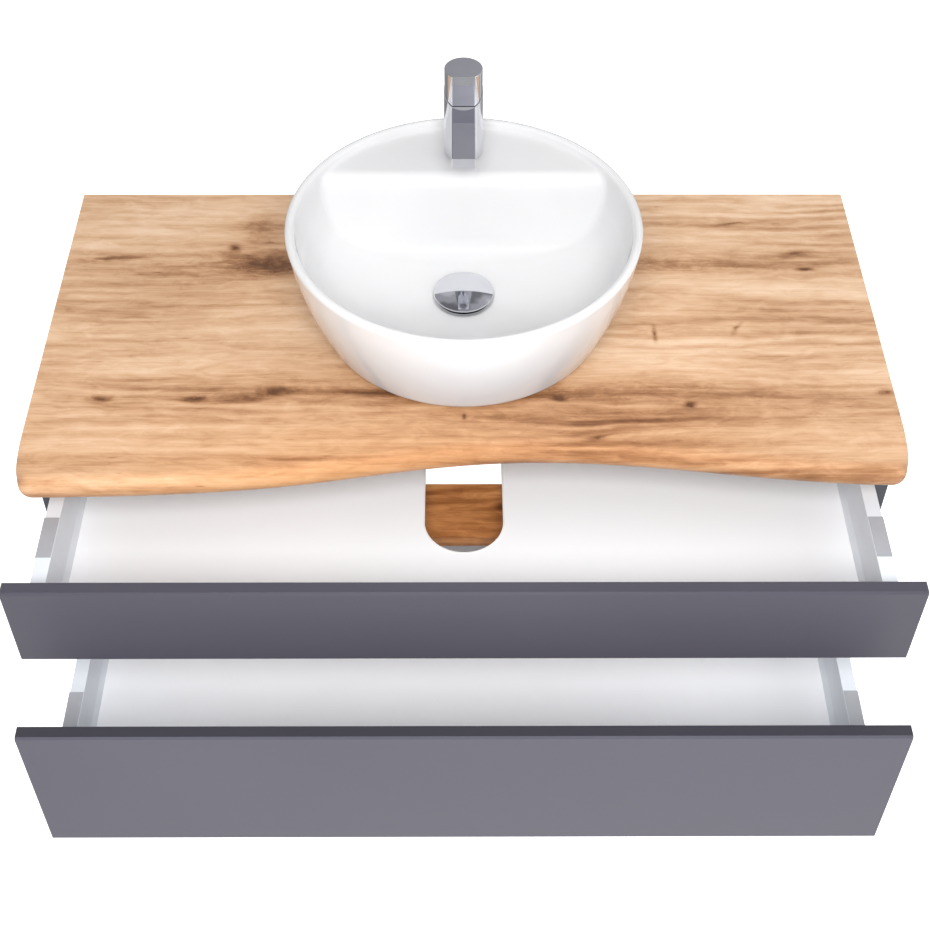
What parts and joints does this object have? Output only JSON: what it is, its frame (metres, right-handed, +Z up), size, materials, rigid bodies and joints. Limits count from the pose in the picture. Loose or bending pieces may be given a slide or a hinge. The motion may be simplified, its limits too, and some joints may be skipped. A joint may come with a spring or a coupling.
{
  "type": "bathroom vanity with vessel basin",
  "caption": "Wall-hung vanity: oak-look top with a waved front, round ceramic vessel basin, single-lever mixer and handleless anthracite drawers on roller runners.",
  "frame": {"origin": "centre of the hanging rail back face, on the wall plane", "axes": "+Z up, -Y out of the wall towards the user, +X to the right as the user faces the vanity"},
  "size_m": [1, 0.708, 0.676],
  "materials": {
    "oak_board": "oak decor board, satin lacquer",
    "anthracite_board": "anthracite coated chipboard",
    "anthracite_front": "anthracite satin lacquered board",
    "white_board": "white coated chipboard",
    "white_edging": "white edging",
    "drawer_steel": "light grey powder coated steel sheet",
    "grey_cap": "grey moulded plastic",
    "zinc_steel": "zinc plated steel",
    "roller_plastic": "natural nylon",
    "dowel_wood": "beech",
    "ceramic": "white glazed sanitary ceramic",
    "seal_rubber": "black rubber",
    "chrome": "polished chrome on brass",
    "brass": "turned brass",
    "cartridge_plastic": "moulded acetal"
  },
  "bodies": {
    "carcass": {"basin": "ceramic", "basin_seal": "seal_rubber", "bottom_front_rail": "anthracite_board", "bracket_screws": "zinc_steel", "cam_fittings": "zinc_steel", "carcass_dowels": "dowel_wood", "drain_body": "chrome", "drain_flange_seal": "seal_rubber", "drain_guide": "cartridge_plastic", "drain_lower_seal": "seal_rubber", "drain_nut": "brass", "hanging_bracket_left": "zinc_steel", "hanging_bracket_right": "zinc_steel", "hanging_rail": "anthracite_board", "middle_traverse": "oak_board", "rear_bottom_rail": "anthracite_board", "runner_lower_left": "zinc_steel", "runner_lower_right": "zinc_steel", "runner_screws": "zinc_steel", "runner_upper_left": "zinc_steel", "runner_upper_right": "zinc_steel", "side_panel_left": "anthracite_board", "side_panel_right": "anthracite_board", "tap_aerator": "cartridge_plastic", "tap_base_seal": "seal_rubber", "tap_body": "chrome", "tap_cartridge": "cartridge_plastic", "tap_cartridge_nut": "brass", "tap_fixing_nut": "zinc_steel", "tap_stud": "zinc_steel", "tap_washer": "zinc_steel", "top_front_rail": "anthracite_board", "worktop": "oak_board", "worktop_screws": "zinc_steel"},
    "drain_plug": {"drain_cap": "chrome", "drain_spindle": "brass"},
    "lever_turn": {"tap_carrier": "cartridge_plastic"},
    "lever": {"tap_handle": "chrome", "tap_lever_stem": "brass", "tap_set_screw": "zinc_steel"},
    "upper_drawer": {"upper_back_left": "white_board", "upper_back_right": "white_board", "upper_bottom": "white_board", "upper_cover_caps": "grey_cap", "upper_cutout_edging": "white_edging", "upper_front": "anthracite_front", "upper_front_brackets": "zinc_steel", "upper_side_left": "drawer_steel", "upper_side_right": "drawer_steel"},
    "lower_drawer": {"lower_back": "white_board", "lower_bottom": "white_board", "lower_cover_caps": "grey_cap", "lower_front": "anthracite_front", "lower_front_brackets": "zinc_steel", "lower_side_left": "drawer_steel", "lower_side_right": "drawer_steel"},
    "cabinet_rollers_upper": {"cabinet_rollers_upper": "roller_plastic"},
    "drawer_rollers_upper": {"drawer_rollers_upper": "roller_plastic"},
    "cabinet_rollers_lower": {"cabinet_rollers_lower": "roller_plastic"},
    "drawer_rollers_lower": {"drawer_rollers_lower": "roller_plastic"}
  },
  "joints": [
    {"name": "upper_drawer_slide", "type": "slide", "parent": "carcass", "child": "upper_drawer", "axis": [0, -1, 0], "range_m": [-0.167, 0.163]},
    {"name": "cabinet_rollers_upper_spin", "type": "hinge", "parent": "carcass", "child": "cabinet_rollers_upper", "pos_m": [0, -0.428, -0.0678], "axis": [1, 0, 0], "continuous": true},
    {"name": "drawer_rollers_upper_spin", "type": "hinge", "parent": "upper_drawer", "child": "drawer_rollers_upper", "pos_m": [0, -0.201, -0.0685], "axis": [1, 0, 0], "continuous": true},
    {"name": "lower_drawer_slide", "type": "slide", "parent": "carcass", "child": "lower_drawer", "axis": [0, -1, 0], "range_m": [-0.25, 0.08]},
    {"name": "cabinet_rollers_lower_spin", "type": "hinge", "parent": "carcass", "child": "cabinet_rollers_lower", "pos_m": [0, -0.428, -0.2963], "axis": [1, 0, 0], "continuous": true},
    {"name": "drawer_rollers_lower_spin", "type": "hinge", "parent": "lower_drawer", "child": "drawer_rollers_lower", "pos_m": [0, -0.284, -0.297], "axis": [1, 0, 0], "continuous": true},
    {"name": "lever_turn", "type": "hinge", "parent": "carcass", "child": "lever_turn", "pos_m": [0, -0.083, 0.3], "axis": [0, -0.5267, 0.85], "range_deg": [-35, 35]},
    {"name": "lever_lift", "type": "hinge", "parent": "lever_turn", "child": "lever", "pos_m": [0, -0.08142, 0.29745], "axis": [-1, 0, 0], "range_deg": [0, 14]},
    {"name": "drain_plug_press", "type": "slide", "parent": "carcass", "child": "drain_plug", "axis": [0, 0, 1], "range_m": [-0.0045, 0]}
  ],
  "couplings": [
    {"joint": "cabinet_rollers_upper_spin", "follows": "upper_drawer_slide", "rad_per_m": 105.26},
    {"joint": "drawer_rollers_upper_spin", "follows": "upper_drawer_slide", "rad_per_m": 125},
    {"joint": "cabinet_rollers_lower_spin", "follows": "lower_drawer_slide", "rad_per_m": 105.26},
    {"joint": "drawer_rollers_lower_spin", "follows": "lower_drawer_slide", "rad_per_m": 125}
  ]
}
